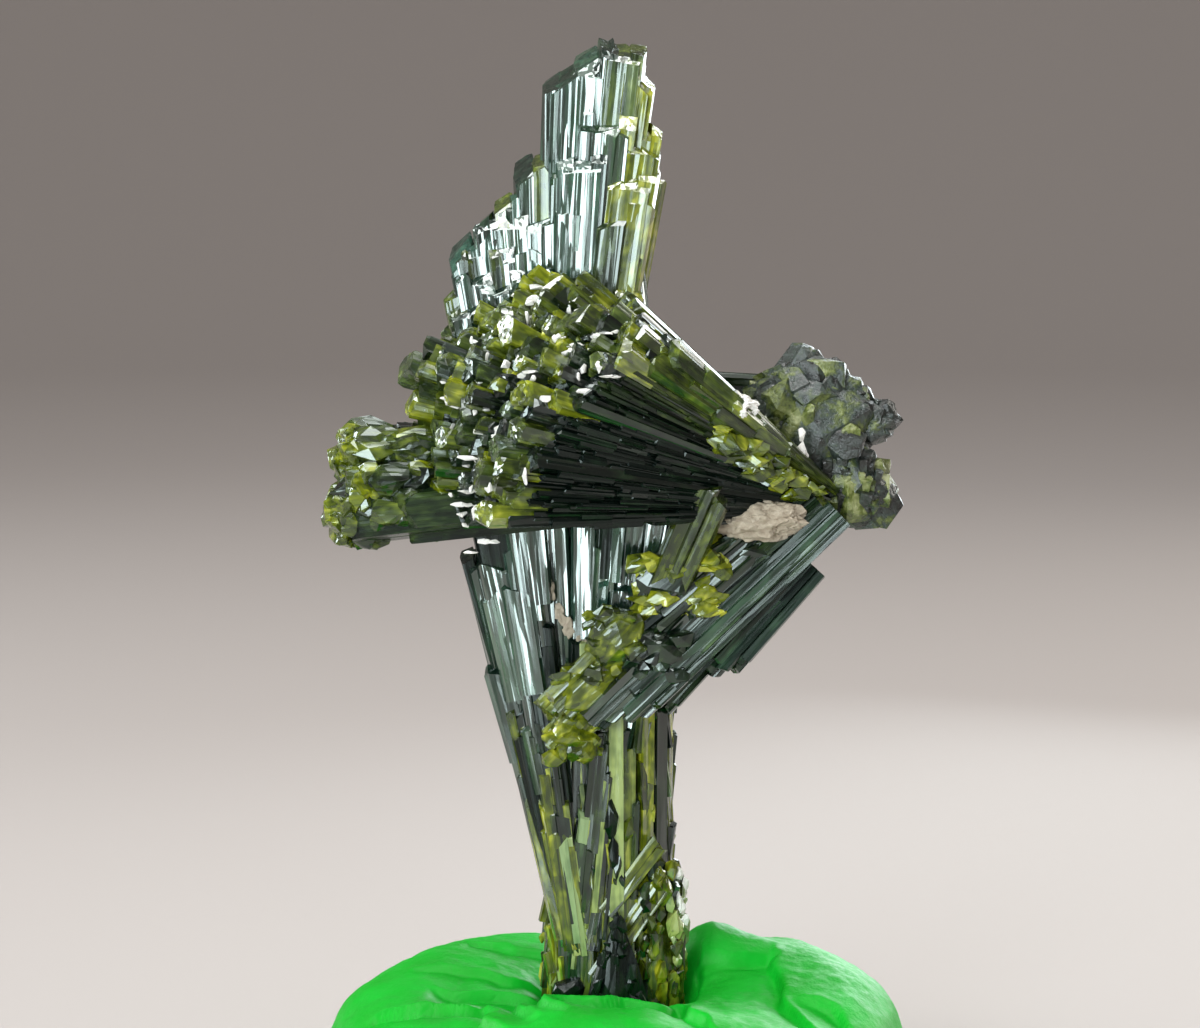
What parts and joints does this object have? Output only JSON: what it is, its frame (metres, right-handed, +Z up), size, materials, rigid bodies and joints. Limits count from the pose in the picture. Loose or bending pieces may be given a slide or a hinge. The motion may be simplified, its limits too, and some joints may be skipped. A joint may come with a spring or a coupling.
{
  "type": "epidote crystal specimen",
  "caption": "Upright sheaf-like cluster of striated dark green epidote crystals, pressed by its foot into a patty of green modelling putty.",
  "frame": {"origin": "middle of the putty's flat underside", "axes": "+Z up along the crystal cluster; +X to the right and -Y towards the viewer of the picture"},
  "size_m": [0.025, 0.0242, 0.0457],
  "materials": {
    "epidote": "striated vitreous crystal, dark green with yellow-green translucent edges",
    "putty": "soft modelling putty with a low sheen"
  },
  "bodies": {
    "root": {"epidote_cluster": "epidote", "putty_base": "putty"}
  },
  "joints": []
}
